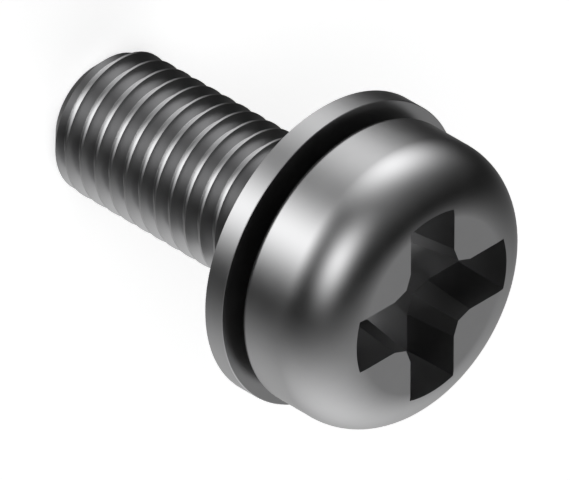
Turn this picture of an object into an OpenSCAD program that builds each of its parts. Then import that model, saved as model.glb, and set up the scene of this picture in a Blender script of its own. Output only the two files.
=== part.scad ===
// Pan head machine screw with a cross recess and one captive flat washer.
// It stands on its threaded end: +Z runs up the axis towards the head, and z = 0 is the end face.

/* [Shank and thread] */
// Length from the end face to the underside of the head
shank_len = 18.18; // [14:0.02:30]
// Diameter over the thread's crests
thread_d = 7.94; // [7:0.02:9]
// Distance from one crest to the next: 24 turns to 25.4 mm
thread_pitch = 1.058; // [0.9:0.002:1.25]
// Depth of the groove from crest to root
thread_depth = 0.63; // [0.5:0.01:0.66]
// Angle between the two flanks of the groove
thread_angle = 60; // [55:1:60]
// Angle about the axis at which the groove's middle crosses the end face
thread_start = 85; // [-180:1:180]
// How far the point's chamfer cuts in from the crests
point_cut = 1.12; // [0.4:0.02:1.4]
// Length of the point's chamfer along the axis
point_len = 1.12; // [0.4:0.02:2]
// How far the plain neck lies in from the crests
neck_step = 0.35; // [0.3:0.01:0.5]

/* [Captive washer] */
// Outside diameter of the washer
washer_d = 16.7; // [12:0.1:20]
// Thickness of the washer
washer_t = 1.22; // [0.8:0.02:2]
// Room between the washer's hole and the neck, all round
washer_clearance = 0.11; // [0.05:0.01:0.15]
// How far the washer can slide up the neck before it meets the head
washer_play = 0.76; // [0.2:0.02:2]
// Air between the washer's hole and the shoulder that it hangs over
seat_air = 0.04; // [0.02:0.01:0.08]

/* [Head] */
// Diameter of the head
head_d = 15.66; // [13:0.02:18]
// Height of the head above its underside
head_h = 5.68; // [4.6:0.02:7]
// Radius that rounds the side of the head into its flat top
crown_r = 3; // [1.5:0.05:4]
// Radius on the lower edge of the head
lower_edge_r = 0.4; // [0.05:0.01:0.5]

/* [Cross recess] */
// Span across two opposite wings at the top of the head
recess_span = 10.62; // [8:0.02:11.5]
// Width of one wing at the top of the head
wing_w = 3.08; // [2:0.01:3.6]
// Width across the flared roots where the wings meet, square to a flare
root_w = 4.75; // [4.4:0.01:5.2]
// Angle at which a root flares out from the side of its wing
root_angle = 20.5; // [15:0.5:25]
// Depth of the recess below the top of the head
recess_depth = 2.93; // [2:0.01:3.6]
// Slope of every wall of the recess, so that the punch comes out
recess_draft = 7; // [2:0.5:9]

/* [Hidden] */
$fn = 96;

steel = "#8c8d8f";
washer_steel = "#96979a";

crest_r = thread_d / 2;
neck_r = crest_r - neck_step;
washer_hole_r = neck_r + washer_clearance;
washer_z = shank_len - washer_play - washer_t;
// The shoulder slopes at 45 degrees and stays clear of the lower edge of the washer's hole.
shoulder_top = washer_z - seat_air + washer_hole_r - neck_r;
shoulder_bottom = shoulder_top - neck_step;
// The neck carries on into the head, so that the two share their metal.
neck_top = shank_len + head_h / 4;
head_top = shank_len + head_h;

// The recess is cut from above the head, and its walls keep their slope all the way up.
cut_above = recess_depth / 3;
draft_slope = tan(recess_draft);

// The groove keeps a crest an eighth of the pitch wide, and its root is rounded between the flanks.
half_angle = thread_angle / 2;
crest_w = thread_pitch / 8;
groove_over = crest_w / 3;
groove_half_w = (thread_pitch - crest_w) / 2;
root_r = crest_r - thread_depth;
apex_r = crest_r - groove_half_w / tan(half_angle);
root_round = (root_r - apex_r) * sin(half_angle) / (1 - sin(half_angle));
root_arc_steps = 3;

// The groove starts below the end face, and fades out over its last turn, under the shoulder.
steps_per_turn = 32;
groove_first_z = -thread_pitch;
groove_last_z = shoulder_bottom - crest_w;
groove_turns = (groove_last_z - groove_first_z) / thread_pitch;
groove_steps = floor(groove_turns * steps_per_turn);
fade_turns = 1;
fade_rise = thread_depth + 2 * groove_over;

// One section of the groove as [radius, height], from its lower lip round the root to its upper lip.
function lip(side) = [crest_r + groove_over, side * (groove_half_w + groove_over * tan(half_angle))];
function root_point(k) =
    let (a = (90 - half_angle) * (2 * k / root_arc_steps - 1))
    [root_r + root_round * (1 - cos(a)), root_round * sin(a)];
groove_section = concat([lip(-1)], [for (k = [0:root_arc_steps]) root_point(k)], [lip(1)]);
section_n = len(groove_section);

// How far the section has moved out of the metal after a number of turns.
function fade(turns) = fade_rise * max(0, 1 - (groove_turns - turns) / fade_turns);
function groove_point(p, step) =
    let (turns = step / steps_per_turn,
         angle = thread_start + 360 * (turns + groove_first_z / thread_pitch),
         r = p[0] + fade(turns))
    [r * cos(angle), r * sin(angle), groove_first_z + turns * thread_pitch + p[1]];

module thread_groove() {
    points = [for (step = [0:groove_steps]) for (p = groove_section) groove_point(p, step)];
    sides = [
        for (step = [0:groove_steps - 1])
            for (k = [0:section_n - 1])
                let (a = step * section_n + k, b = step * section_n + (k + 1) % section_n)
                each [[a, b + section_n, b], [a, a + section_n, b + section_n]]
    ];
    first_end = [for (k = [0:section_n - 1]) k];
    last_end = [for (k = [section_n - 1:-1:0]) groove_steps * section_n + k];
    polyhedron(points, concat(sides, [first_end, last_end]), convexity = 20);
}

// What is cut off a square corner at the origin's upper right to leave it round.
module corner_waste(r) {
    difference() {
        square(2 * r);
        circle(r);
    }
}

module head_profile() {
    difference() {
        square([head_d / 2, head_h]);
        translate([head_d / 2 - crown_r, head_h - crown_r]) corner_waste(crown_r);
        translate([head_d / 2 - lower_edge_r, lower_edge_r]) mirror([0, 1]) corner_waste(lower_edge_r);
    }
}

module shank_profile() {
    polygon([
        [0, 0],
        [crest_r - point_cut, 0],
        [crest_r, point_len],
        [crest_r, shoulder_bottom],
        [neck_r, shoulder_top],
        [neck_r, neck_top],
        [0, neck_top]
    ]);
}

// A long bar across the recess, whose two sides slope in towards the bottom.
module drafted_bar(width, angle) {
    length = 2 * head_d;
    top_half = width / 2 + cut_above * draft_slope;
    bottom_half = width / 2 - recess_depth * draft_slope;
    rotate([0, 0, angle])
        translate([length / 2, 0, head_top])
            rotate([0, -90, 0])
                linear_extrude(length)
                    polygon([
                        [-recess_depth, -bottom_half],
                        [cut_above, -top_half],
                        [cut_above, top_half],
                        [-recess_depth, bottom_half]
                    ]);
}

// Two wings in line, with the flared roots that lead into them.
module wing_pair(angle) {
    drafted_bar(wing_w, angle);
    intersection() {
        drafted_bar(root_w, angle - root_angle);
        drafted_bar(root_w, angle + root_angle);
    }
}

module recess() {
    intersection() {
        union() {
            wing_pair(0);
            wing_pair(90);
        }
        translate([0, 0, head_top - recess_depth])
            cylinder(
                h = recess_depth + cut_above,
                r1 = recess_span / 2 - recess_depth * draft_slope,
                r2 = recess_span / 2 + cut_above * draft_slope
            );
    }
}

module screw() {
    color(steel)
        difference() {
            rotate_extrude() {
                shank_profile();
                translate([0, shank_len]) head_profile();
            }
            thread_groove();
            recess();
        }
}

module washer() {
    color(washer_steel)
        translate([0, 0, washer_z])
            rotate_extrude()
                translate([washer_hole_r, 0])
                    square([washer_d / 2 - washer_hole_r, washer_t]);
}

screw();
washer();
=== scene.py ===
# A pan head machine screw with a cross recess and one captive flat washer, standing on its end.
import math

import bmesh
import bpy
from mathutils import Matrix, Vector


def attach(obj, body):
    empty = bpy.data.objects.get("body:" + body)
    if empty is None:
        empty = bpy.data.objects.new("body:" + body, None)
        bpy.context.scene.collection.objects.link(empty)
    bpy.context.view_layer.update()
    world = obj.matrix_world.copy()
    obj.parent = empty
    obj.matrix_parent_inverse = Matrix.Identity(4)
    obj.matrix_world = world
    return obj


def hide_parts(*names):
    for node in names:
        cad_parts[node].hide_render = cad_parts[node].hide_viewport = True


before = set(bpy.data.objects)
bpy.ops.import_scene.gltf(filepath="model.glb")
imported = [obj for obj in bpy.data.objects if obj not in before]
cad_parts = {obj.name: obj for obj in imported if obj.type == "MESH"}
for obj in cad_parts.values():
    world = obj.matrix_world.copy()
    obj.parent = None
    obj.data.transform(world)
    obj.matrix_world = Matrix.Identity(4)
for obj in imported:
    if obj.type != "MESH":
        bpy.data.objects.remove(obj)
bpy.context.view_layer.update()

# The studio: a plain white sheet under the screw and a white surround, lit by soft round lamps.
# Each lamp is placed by the highlight it leaves on the bright steel, some from below. So the sheet
# takes the screw's shadow but throws none, and neither sheet nor surround shows in the steel.
LAMPS = [
    # Azimuth and elevation in degrees, tightness and brightness, each with the light it gives.
    (61, -14, 8.4, 3.3),  # the band along the upper side of the thread, the rim and the head
    (141, 37, 16.5, 3.6),  # the lower bright spot on the crown
    (141, -36, 17.0, 4.1),  # the strongest band, along the thread, the rim and the head's side
    (270, 1.5, 2.3, 1.88),  # the wide light on the lower side and the head's flat top
    (80, 13, 2.3, 0.37),  # the wide faint light on the upper side and the crown
]
SHEET_RADIUS = 0.24
SHEET_CORNERS = 96
SHEET_WHITE = (0.9, 0.9, 0.9, 1)
SHEET_GLOW = 0.57
SURROUND_RADIUS = 0.25
SURROUND_SLICES = 48
SURROUND_STACKS = 24
WHITE = (1, 1, 1, 1)


def add_node(tree, kind, *inputs, **settings):
    """Adds a node, sets it up and feeds its inputs in order from sockets or plain values."""
    node = tree.nodes.new(kind)
    for name, value in settings.items():
        setattr(node, name, value)
    for socket, value in zip(node.inputs, inputs):
        if isinstance(value, bpy.types.NodeSocket):
            tree.links.new(value, socket)
        elif value is not None:
            socket.default_value = value
    return node


def math_node(tree, operation, *inputs):
    return add_node(tree, "ShaderNodeMath", *inputs, operation=operation).outputs[0]


def sky_direction(azimuth, elevation):
    around, up = math.radians(azimuth), math.radians(elevation)
    return Vector((math.cos(around) * math.cos(up), math.sin(around) * math.cos(up), math.sin(up)))


def make_lamp_group():
    """One round lamp seen along a direction: full in its middle and fading softly to its rim."""
    group = bpy.data.node_groups.new("soft_round_lamp", "ShaderNodeTree")
    group.interface.new_socket("Looking along", in_out="INPUT", socket_type="NodeSocketVector")
    group.interface.new_socket("Lamp direction", in_out="INPUT", socket_type="NodeSocketVector")
    group.interface.new_socket("Tightness", in_out="INPUT", socket_type="NodeSocketFloat")
    group.interface.new_socket("Brightness", in_out="INPUT", socket_type="NodeSocketFloat")
    group.interface.new_socket("Light", in_out="OUTPUT", socket_type="NodeSocketFloat")
    entry = group.nodes.new("NodeGroupInput")
    looking, lamp, tightness, brightness = entry.outputs[:4]
    towards_lamp = add_node(group, "ShaderNodeVectorMath", looking, lamp, operation="DOT_PRODUCT")
    in_front = math_node(group, "MAXIMUM", towards_lamp.outputs["Value"], 0.0)
    falloff = math_node(group, "POWER", in_front, tightness)
    light = math_node(group, "MULTIPLY", falloff, brightness)
    add_node(group, "NodeGroupOutput", light)
    return group


def light_studio():
    world = bpy.data.worlds.new("studio")
    world.use_nodes = True
    bpy.context.scene.world = world
    tree = world.node_tree
    background = tree.nodes["Background"]
    background.inputs["Color"].default_value = WHITE
    looking = tree.nodes.new("ShaderNodeTexCoord").outputs["Generated"]
    lamp_group = make_lamp_group()
    total = None
    for azimuth, elevation, tightness, brightness in LAMPS:
        lamp = tree.nodes.new("ShaderNodeGroup")
        lamp.node_tree = lamp_group
        tree.links.new(looking, lamp.inputs["Looking along"])
        lamp.inputs["Lamp direction"].default_value = sky_direction(azimuth, elevation)
        lamp.inputs["Tightness"].default_value = tightness
        lamp.inputs["Brightness"].default_value = brightness
        light = lamp.outputs["Light"]
        total = light if total is None else math_node(tree, "ADD", total, light)
    tree.links.new(total, background.inputs["Strength"])


def new_object(name, vertices, faces):
    mesh = bpy.data.meshes.new(name)
    mesh.from_pydata(vertices, [], faces)
    mesh.validate()
    made = bpy.data.objects.new(name, mesh)
    bpy.context.scene.collection.objects.link(made)
    return made


def ring(radius, height, count, turned=0.0):
    """Points of a level circle round the screw's axis, anticlockwise from above."""
    step = math.tau / count
    return [
        (radius * math.cos(turned + step * k), radius * math.sin(turned + step * k), height)
        for k in range(count)
    ]


def turned_faces(rows, count, closed=False):
    """Quads from each ring of points to the next, and where closed from the last to the first."""
    return [
        (
            row * count + k,
            row * count + (k + 1) % count,
            (row + 1) % rows * count + (k + 1) % count,
            (row + 1) % rows * count + k,
        )
        for row in range(rows if closed else rows - 1)
        for k in range(count)
    ]


def empty_material(name):
    material = bpy.data.materials.new(name)
    material.use_nodes = True
    material.node_tree.nodes.clear()
    return material


def make_sheet():
    """The white sheet: it scatters light and glows a little, so that only the shadow on it is grey."""
    outline = ring(SHEET_RADIUS, 0, SHEET_CORNERS)
    sheet = new_object("sheet", outline, [tuple(range(SHEET_CORNERS))])
    material = empty_material("white_sheet")
    tree = material.node_tree
    paper = add_node(tree, "ShaderNodeBsdfDiffuse", SHEET_WHITE)
    glow = add_node(tree, "ShaderNodeEmission", WHITE, SHEET_GLOW)
    both = add_node(tree, "ShaderNodeAddShader", paper.outputs[0], glow.outputs[0])
    add_node(tree, "ShaderNodeOutputMaterial", both.outputs[0])
    sheet.data.materials.append(material)
    sheet.visible_glossy = False
    sheet.visible_shadow = False


def make_surround():
    """The white surround, a ball round the sheet that is white from inside and clear from outside."""
    vertices = []
    for stack in range(1, SURROUND_STACKS):
        tilt = math.pi * stack / SURROUND_STACKS
        radius, height = SURROUND_RADIUS * math.sin(tilt), SURROUND_RADIUS * math.cos(tilt)
        vertices += ring(radius, height, SURROUND_SLICES)
    rings = SURROUND_STACKS - 1
    faces = turned_faces(rings, SURROUND_SLICES)
    faces.append(tuple(reversed(range(SURROUND_SLICES))))
    faces.append(tuple((rings - 1) * SURROUND_SLICES + k for k in range(SURROUND_SLICES)))
    surround = new_object("surround", vertices, faces)
    material = empty_material("white_surround")
    tree = material.node_tree
    outside = tree.nodes.new("ShaderNodeNewGeometry").outputs["Backfacing"]
    white = add_node(tree, "ShaderNodeEmission", WHITE, 1.0)
    clear = add_node(tree, "ShaderNodeBsdfTransparent")
    one_sided = add_node(tree, "ShaderNodeMixShader", outside, white.outputs[0], clear.outputs[0])
    add_node(tree, "ShaderNodeOutputMaterial", one_sided.outputs[0])
    surround.data.materials.append(material)
    surround.visible_diffuse = False
    surround.visible_glossy = False
    surround.visible_transmission = False
    surround.visible_shadow = False


light_studio()
make_sheet()
make_surround()

# The camera stands far off with a very long lens, so that the view is close to a parallel one.
# It looks down the screw from the head's side, rolled so that the thread runs to the upper left.
# The picture is FRAME_WIDTH wide in the plane that lies MIDDLE_DEPTH nearer than the origin.
MM = 0.001
FRAME_WIDTH = 28.5 * MM
LENS = 1200
SENSOR = 36
AIM = Vector((0, 0, 17.405)) * MM
AIM_RIGHT = -2.765 * MM
AIM_UP = 0.637 * MM
MIDDLE_DEPTH = 8.6 * MM


def place_camera():
    towards = Vector((-1, 1, 1)).normalized()
    right = Vector((1, 0, 1)).normalized()
    up = towards.cross(right)
    data = bpy.data.cameras.new("camera")
    data.sensor_width = SENSOR
    data.lens = LENS
    distance = FRAME_WIDTH * LENS / SENSOR
    centre = AIM + right * AIM_RIGHT + up * AIM_UP
    centre += towards * (MIDDLE_DEPTH - centre.dot(towards))
    camera = bpy.data.objects.new("camera", data)
    bpy.context.scene.collection.objects.link(camera)
    axes = Matrix((right, up, towards)).transposed().to_4x4()
    camera.matrix_world = Matrix.Translation(centre + towards * distance) @ axes
    data.clip_start = distance / 2
    data.clip_end = distance * 2
    bpy.context.scene.camera = camera


place_camera()
bpy.context.scene.view_settings.view_transform = "Standard"

# The screw is one piece of steel, cold-headed from wire: pan head, neck and point in one turn of
# the profile, a cross recess punched into the head, and the thread rolled on last.
# It is made in millimetres, and brought to metres once it is finished.
TO_METRES = Matrix.Scale(MM, 4)
SHANK_LENGTH = 18.18
CREST_RADIUS = 3.97
NECK_STEP = 0.35
NECK_RADIUS = CREST_RADIUS - NECK_STEP
POINT_CUT = 1.12
POINT_LENGTH = 1.12
POINT_RADIUS = CREST_RADIUS - POINT_CUT
BLANK_RADIUS = 3.2
PITCH = 1.058
THREAD_DEPTH = 0.58
THREAD_START = math.radians(85)
FLANK_ANGLE = math.radians(30)
CREST_WIDTH = PITCH / 8
# Over its last turn the groove rises by its depth and a little more, wholly out of the metal.
FADE_RISE = THREAD_DEPTH + 2 * CREST_WIDTH / 3
ROOT_ROUNDING = 0.05
ROOT_STEPS = 6
FLANK_STEPS = 4
TURN_STEPS = 128
WASHER_THICKNESS = 1.22
WASHER_PLAY = 0.76
WASHER_CLEARANCE = 0.11
SEAT_AIR = 0.04
WASHER_BACK = SHANK_LENGTH - WASHER_PLAY - WASHER_THICKNESS
SHOULDER_TOP = WASHER_BACK - SEAT_AIR + WASHER_CLEARANCE
SHOULDER_BOTTOM = SHOULDER_TOP - NECK_STEP
# The thread starts a pitch below the end face, and its last turn passes the shoulder.
THREAD_TURNS = math.ceil(SHOULDER_BOTTOM / PITCH) + 2
MERGE_DISTANCE = 0.0005


def thread_section():
    """One pitch of the thread as radius and height, from the middle of one crest to the next."""
    half_groove = (PITCH - CREST_WIDTH) / 2
    root = CREST_RADIUS - THREAD_DEPTH
    apex = CREST_RADIUS - half_groove / math.tan(FLANK_ANGLE)
    arc_end = math.pi / 2 - FLANK_ANGLE
    half_flat = (root - apex) * math.tan(FLANK_ANGLE) - ROOT_ROUNDING * math.tan(arc_end / 2)
    upper = [(root, 0)]
    for k in range(ROOT_STEPS + 1):
        angle = arc_end * k / ROOT_STEPS
        radius = root + ROOT_ROUNDING * (1 - math.cos(angle))
        upper.append((radius, half_flat + ROOT_ROUNDING * math.sin(angle)))
    foot_radius, foot_height = upper[-1]
    for k in range(1, FLANK_STEPS + 1):
        share = k / FLANK_STEPS
        radius = foot_radius + (CREST_RADIUS - foot_radius) * share
        upper.append((radius, foot_height + (half_groove - foot_height) * share))
    upper.append((CREST_RADIUS, PITCH / 2))
    lower = [(radius, -height) for radius, height in reversed(upper[1:])]
    return lower + upper


def make_thread_tree():
    """Winds a section round the axis: one column of the sheet per step, each a pitch tall."""
    tree = bpy.data.node_groups.new("wind_thread", "GeometryNodeTree")
    sockets = [
        ("Section", "NodeSocketGeometry"),
        ("Section points", "NodeSocketInt"),
        ("Steps per turn", "NodeSocketInt"),
        ("Turns", "NodeSocketInt"),
        ("Pitch", "NodeSocketFloat"),
        ("Start angle", "NodeSocketFloat"),
        ("First height", "NodeSocketFloat"),
        ("Crest radius", "NodeSocketFloat"),
        ("Thread end", "NodeSocketFloat"),
        ("Fade rise", "NodeSocketFloat"),
        ("Blank radius", "NodeSocketFloat"),
        ("Top height", "NodeSocketFloat"),
        ("Material", "NodeSocketMaterial"),
    ]
    for name, kind in sockets:
        tree.interface.new_socket(name, in_out="INPUT", socket_type=kind)
    tree.interface.new_socket("Thread", in_out="OUTPUT", socket_type="NodeSocketGeometry")
    given = tree.nodes.new("NodeGroupInput").outputs

    def calc(operation, *inputs):
        return math_node(tree, operation, *inputs)

    # A grid with a cell per step and per section line, whose corners count columns and rows.
    last_column = calc("MULTIPLY", given["Steps per turn"], given["Turns"])
    last_row = calc("SUBTRACT", given["Section points"], 1.0)
    grid = add_node(
        tree,
        "GeometryNodeMeshGrid",
        last_column,
        last_row,
        calc("ADD", last_column, 1.0),
        given["Section points"],
    )
    place = tree.nodes.new("GeometryNodeInputPosition").outputs[0]
    across = add_node(tree, "ShaderNodeSeparateXYZ", place)
    column = calc("ADD", across.outputs["X"], calc("DIVIDE", last_column, 2.0))
    row = calc("ROUND", calc("ADD", across.outputs["Y"], calc("DIVIDE", last_row, 2.0)))
    section = tree.nodes.new("GeometryNodeSampleIndex")
    section.data_type = "FLOAT_VECTOR"
    section.domain = "POINT"
    tree.links.new(given["Section"], section.inputs["Geometry"])
    tree.links.new(place, section.inputs["Value"])
    tree.links.new(row, section.inputs["Index"])
    point = add_node(tree, "ShaderNodeSeparateXYZ", section.outputs[0])

    # Each column is turned and raised, and kept between the end face and the shoulder.
    turned = calc("DIVIDE", column, given["Steps per turn"])
    centre_height = calc("MULTIPLY_ADD", turned, given["Pitch"], given["First height"])
    angle = calc("MULTIPLY_ADD", turned, math.tau, given["Start angle"])
    raw_height = calc("ADD", centre_height, point.outputs["Z"])
    height = calc("MINIMUM", calc("MAXIMUM", raw_height, 0.0), given["Top height"])

    # The groove rises out of the metal over its last turn, and past the shoulder it is filled.
    # What lies below the end face is drawn in to the rim of the flat end that closes the blank.
    to_end = calc("DIVIDE", calc("SUBTRACT", given["Thread end"], centre_height), given["Pitch"])
    fade = calc("MULTIPLY", given["Fade rise"], calc("MAXIMUM", calc("SUBTRACT", 1.0, to_end), 0.0))
    past_top = calc("GREATER_THAN", raw_height, given["Top height"])
    lifted = calc("ADD", calc("ADD", point.outputs["X"], fade), past_top)
    on_shank = calc("MINIMUM", lifted, given["Crest radius"])
    radius = tree.nodes.new("GeometryNodeSwitch")
    radius.input_type = "FLOAT"
    tree.links.new(calc("LESS_THAN", raw_height, 0.0), radius.inputs["Switch"])
    tree.links.new(on_shank, radius.inputs["False"])
    tree.links.new(given["Blank radius"], radius.inputs["True"])
    wound = add_node(
        tree,
        "ShaderNodeCombineXYZ",
        calc("MULTIPLY", radius.outputs[0], calc("COSINE", angle)),
        calc("MULTIPLY", radius.outputs[0], calc("SINE", angle)),
        height,
    )
    set_place = tree.nodes.new("GeometryNodeSetPosition")
    tree.links.new(grid.outputs["Mesh"], set_place.inputs["Geometry"])
    tree.links.new(wound.outputs[0], set_place.inputs["Position"])
    merged = tree.nodes.new("GeometryNodeMergeByDistance")
    tree.links.new(set_place.outputs["Geometry"], merged.inputs["Geometry"])
    merged.inputs["Distance"].default_value = MERGE_DISTANCE
    realized = tree.nodes.new("GeometryNodeRealizeInstances")
    tree.links.new(merged.outputs["Geometry"], realized.inputs["Geometry"])
    coated = tree.nodes.new("GeometryNodeSetMaterial")
    tree.links.new(realized.outputs["Geometry"], coated.inputs["Geometry"])
    tree.links.new(given["Material"], coated.inputs["Material"])
    add_node(tree, "NodeGroupOutput", coated.outputs["Geometry"])
    return tree


def settle(made, name):
    """The object as its modifiers leave it, as a plain mesh with no modifier."""
    view = bpy.context.evaluated_depsgraph_get()
    mesh = bpy.data.meshes.new_from_object(made.evaluated_get(view), depsgraph=view)
    plain = bpy.data.objects.new(name, mesh)
    bpy.context.scene.collection.objects.link(plain)
    bpy.data.objects.remove(made)
    return plain


def wind_thread(material):
    section = thread_section()
    line = [(radius, 0, height) for radius, height in section]
    holder = new_object("thread_section", line, [])
    modifier = holder.modifiers.new("wind", "NODES")
    tree = make_thread_tree()
    modifier.node_group = tree
    values = {
        "Section points": len(section),
        "Steps per turn": TURN_STEPS,
        "Turns": THREAD_TURNS,
        "Pitch": PITCH,
        "Start angle": THREAD_START,
        "First height": -PITCH,
        "Crest radius": CREST_RADIUS,
        "Thread end": SHOULDER_BOTTOM - CREST_WIDTH,
        "Fade rise": FADE_RISE,
        "Blank radius": BLANK_RADIUS,
        "Top height": SHOULDER_BOTTOM,
        "Material": material,
    }
    for item in tree.interface.items_tree:
        if item.name in values:
            modifier[item.identifier] = values[item.name]
    return settle(holder, "thread")


HEAD_RADIUS = 7.83
HEAD_HEIGHT = 5.68
HEAD_TOP = SHANK_LENGTH + HEAD_HEIGHT
CROWN_RADIUS = 3.0
CROWN_STEPS = 40
LOWER_EDGE_RADIUS = 0.4
LOWER_EDGE_STEPS = 12


def arc(centre_radius, centre_height, radius, first, last, steps):
    """Points of an arc in the profile, from one angle in degrees to another."""
    points = []
    for k in range(steps + 1):
        angle = math.radians(first + (last - first) * k / steps)
        across, up = radius * math.cos(angle), radius * math.sin(angle)
        points.append((centre_radius + across, centre_height + up))
    return points


def turn_head():
    """The shoulder, neck and head as a turned shell, and the flat disc that closes the blank."""
    shoulder = [(CREST_RADIUS, SHOULDER_BOTTOM), (NECK_RADIUS, SHOULDER_TOP)]
    neck_end = [(NECK_RADIUS, SHANK_LENGTH)]
    edge_middle = (HEAD_RADIUS - LOWER_EDGE_RADIUS, SHANK_LENGTH + LOWER_EDGE_RADIUS)
    lower_edge = arc(*edge_middle, LOWER_EDGE_RADIUS, -90, 0, LOWER_EDGE_STEPS)
    crown_middle = (HEAD_RADIUS - CROWN_RADIUS, HEAD_TOP - CROWN_RADIUS)
    crown = arc(*crown_middle, CROWN_RADIUS, 0, 90, CROWN_STEPS)
    profile = shoulder + neck_end + lower_edge + crown
    vertices = []
    for radius, height in profile:
        vertices += ring(radius, height, TURN_STEPS, THREAD_START)
    faces = turned_faces(len(profile), TURN_STEPS)
    top_ring = (len(profile) - 1) * TURN_STEPS
    faces.append(tuple(top_ring + k for k in range(TURN_STEPS)))
    end_ring = len(vertices)
    vertices += ring(BLANK_RADIUS, 0, TURN_STEPS, THREAD_START)
    faces.append(tuple(end_ring + k for k in reversed(range(TURN_STEPS))))
    return new_object("head", vertices, faces)


RECESS_SPAN = 10.62
WING_WIDTH = 3.08
ROOT_WIDTH = 4.75
ROOT_ANGLE = math.radians(20.5)
RECESS_DEPTH = 2.93
RECESS_SLOPE = math.tan(math.radians(7))
RECESS_ABOVE = 1.0
WING_TIP_STEPS = 12
QUARTER_TURNS = ((1, 0), (0, 1), (-1, 0), (0, -1))


def recess_outline(depth):
    """The cross at a depth below the top of the head, drawn in by the slope of its walls."""
    inset = depth * RECESS_SLOPE
    tip_radius = RECESS_SPAN / 2 - inset
    wing_half = WING_WIDTH / 2 - inset
    root_half = ROOT_WIDTH / 2 - inset
    tip_angle = math.asin(wing_half / tip_radius)
    quarter = []
    for k in range(WING_TIP_STEPS + 1):
        angle = tip_angle * (2 * k / WING_TIP_STEPS - 1)
        quarter.append((tip_radius * math.cos(angle), tip_radius * math.sin(angle)))
    flare_start = (root_half - wing_half * math.cos(ROOT_ANGLE)) / math.sin(ROOT_ANGLE)
    root_corner = root_half / (math.sin(ROOT_ANGLE) + math.cos(ROOT_ANGLE))
    quarter += [(flare_start, wing_half), (root_corner, root_corner), (wing_half, flare_start)]
    height = HEAD_TOP - depth
    outline = []
    for cosine, sine in QUARTER_TURNS:
        outline += [(x * cosine - y * sine, x * sine + y * cosine, height) for x, y in quarter]
    return outline


def make_punch():
    """The punch that leaves the recess, from its floor to a little above the head."""
    low, high = recess_outline(RECESS_DEPTH), recess_outline(-RECESS_ABOVE)
    count = len(low)
    faces = turned_faces(2, count)
    faces.append(tuple(reversed(range(count))))
    faces.append(tuple(count + k for k in range(count)))
    return new_object("punch", low + high, faces)


COLLAR_BOTTOM = -0.4
COLLAR_TOP = 1.5
COLLAR_RADIUS = 5.0
COLLAR_SIDES = 192


def make_point_cutter():
    """A collar round the end of the shank, whose bore is the cone of the point."""
    slope = POINT_CUT / POINT_LENGTH
    rows = [
        (POINT_RADIUS + COLLAR_BOTTOM * slope, COLLAR_BOTTOM),
        (COLLAR_RADIUS, COLLAR_BOTTOM),
        (COLLAR_RADIUS, COLLAR_TOP),
        (POINT_RADIUS + COLLAR_TOP * slope, COLLAR_TOP),
    ]
    half_side = math.pi / COLLAR_SIDES
    vertices = []
    for radius, height in rows:
        vertices += ring(radius, height, COLLAR_SIDES, THREAD_START + half_side)
    return new_object("point_cutter", vertices, turned_faces(len(rows), COLLAR_SIDES, closed=True))


def join_and_weld(first, second):
    """Joins two shells that share a ring of points into one closed shell."""
    both = bmesh.new()
    both.from_mesh(first.data)
    both.from_mesh(second.data)
    bmesh.ops.remove_doubles(both, verts=both.verts, dist=MERGE_DISTANCE)
    bmesh.ops.recalc_face_normals(both, faces=both.faces)
    both.to_mesh(first.data)
    both.free()
    bpy.data.objects.remove(second)
    return first


def cut_out(made, cutters):
    """Takes each cutter out of the object, and leaves a plain mesh."""
    for cutter in cutters:
        cut = made.modifiers.new(cutter.name, "BOOLEAN")
        cut.operation = "DIFFERENCE"
        cut.solver = "EXACT"
        cut.object = cutter
    made = settle(made, "blank")
    for cutter in cutters:
        bpy.data.objects.remove(cutter)
    return made


SHARP_ANGLE = math.radians(12)


def crisp(made, name):
    """Smooth shading with crisp corners, where a large face keeps its own direction."""
    for face in made.data.polygons:
        face.use_smooth = True
    made.data.set_sharp_from_angle(angle=SHARP_ANGLE)
    weighted = made.modifiers.new("weighted", "WEIGHTED_NORMAL")
    weighted.keep_sharp = True
    return settle(made, name)


STEEL_COLOUR = (0.30, 0.30, 0.303)
EDGE_TINT = (0.65, 0.65, 0.65, 1)
SCREW_GLOSS = (0.276, 0.296)
TONE_RANGE = (0.98, 1.02)
CLOUD_SCALE = 900
CLOUD_DETAIL = 3
CLOUD_THIN = 0.3
CLOUD_DENSE = 0.7
GRAIN_SCALE = 7000
GRAIN_STRENGTH = 0.3
GRAIN_HEIGHT = 0.0005 * MM


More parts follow.
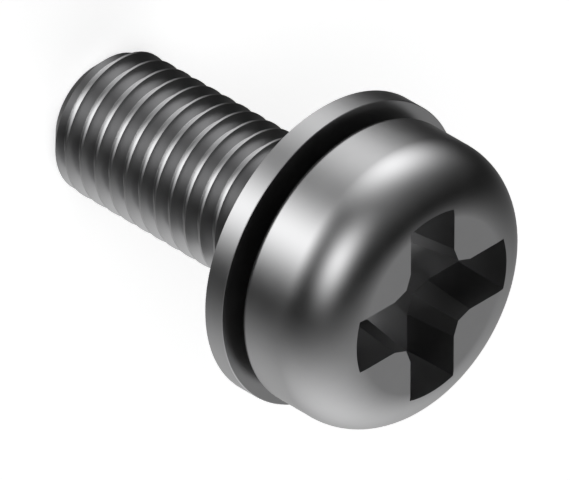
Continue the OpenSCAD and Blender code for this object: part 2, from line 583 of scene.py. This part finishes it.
def make_bright_steel(name, gloss_range):
    """Bright steel: a plain metal with a slightly cloudy gloss and a faint grain left by tumbling."""
    material = bpy.data.materials.new(name)
    material.use_nodes = True
    tree = material.node_tree
    shader = tree.nodes["Principled BSDF"]
    shader.inputs["Metallic"].default_value = 1.0
    shader.inputs["Specular Tint"].default_value = EDGE_TINT
    place = tree.nodes.new("ShaderNodeTexCoord").outputs["Object"]
    cloud = add_node(tree, "ShaderNodeTexNoise", place)
    cloud.inputs["Scale"].default_value = CLOUD_SCALE
    cloud.inputs["Detail"].default_value = CLOUD_DETAIL
    spread = (cloud.outputs[0], CLOUD_THIN, CLOUD_DENSE)
    gloss = add_node(tree, "ShaderNodeMapRange", *spread, *gloss_range)
    tree.links.new(gloss.outputs[0], shader.inputs["Roughness"])
    tone = add_node(tree, "ShaderNodeMapRange", *spread, *TONE_RANGE)
    tint = add_node(tree, "ShaderNodeVectorMath", STEEL_COLOUR, operation="SCALE")
    tree.links.new(tone.outputs[0], tint.inputs["Scale"])
    tree.links.new(tint.outputs[0], shader.inputs["Base Color"])
    grain = add_node(tree, "ShaderNodeTexNoise", place)
    grain.inputs["Scale"].default_value = GRAIN_SCALE
    bump = tree.nodes.new("ShaderNodeBump")
    bump.inputs["Strength"].default_value = GRAIN_STRENGTH
    bump.inputs["Distance"].default_value = GRAIN_HEIGHT
    tree.links.new(grain.outputs[0], bump.inputs["Height"])
    tree.links.new(bump.outputs[0], shader.inputs["Normal"])
    return material


screw_steel = make_bright_steel("bright_steel", SCREW_GLOSS)
thread = wind_thread(screw_steel)
blank = join_and_weld(turn_head(), thread)
screw = crisp(cut_out(blank, [make_punch(), make_point_cutter()]), "pan_head_screw")
screw.data.materials.clear()
screw.data.materials.append(screw_steel)
screw.data.transform(TO_METRES)
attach(screw, "screw")
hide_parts("screw")

# The washer is a plain steel disc, stamped and put on the blank before the thread is rolled.
# Its hole is smaller than the thread, so it stays on, and it hangs on the shoulder over the thread.
# Its edge is lightly broken by tumbling, and lies just inside the outline of the CAD washer.
WASHER_RADIUS = 8.345
WASHER_HOLE_RADIUS = NECK_RADIUS + WASHER_CLEARANCE
WASHER_EDGE = 0.03
WASHER_SIDES = 192
WASHER_GLOSS = (0.276, 0.3)


def turn_washer():
    low, high = WASHER_BACK, WASHER_BACK + WASHER_THICKNESS
    profile = [
        (WASHER_HOLE_RADIUS, low),
        (WASHER_RADIUS - WASHER_EDGE, low),
        (WASHER_RADIUS, low + WASHER_EDGE),
        (WASHER_RADIUS, high - WASHER_EDGE),
        (WASHER_RADIUS - WASHER_EDGE, high),
        (WASHER_HOLE_RADIUS, high),
    ]
    vertices = []
    for radius, height in profile:
        vertices += ring(radius, height, WASHER_SIDES)
    return new_object("washer_shell", vertices, turned_faces(len(profile), WASHER_SIDES, closed=True))


washer_steel = make_bright_steel("bright_washer_steel", WASHER_GLOSS)
washer = crisp(turn_washer(), "flat_washer")
washer.data.materials.append(washer_steel)
washer.data.transform(TO_METRES)
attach(washer, "washer")
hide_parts("washer")

bpy.context.view_layer.update()
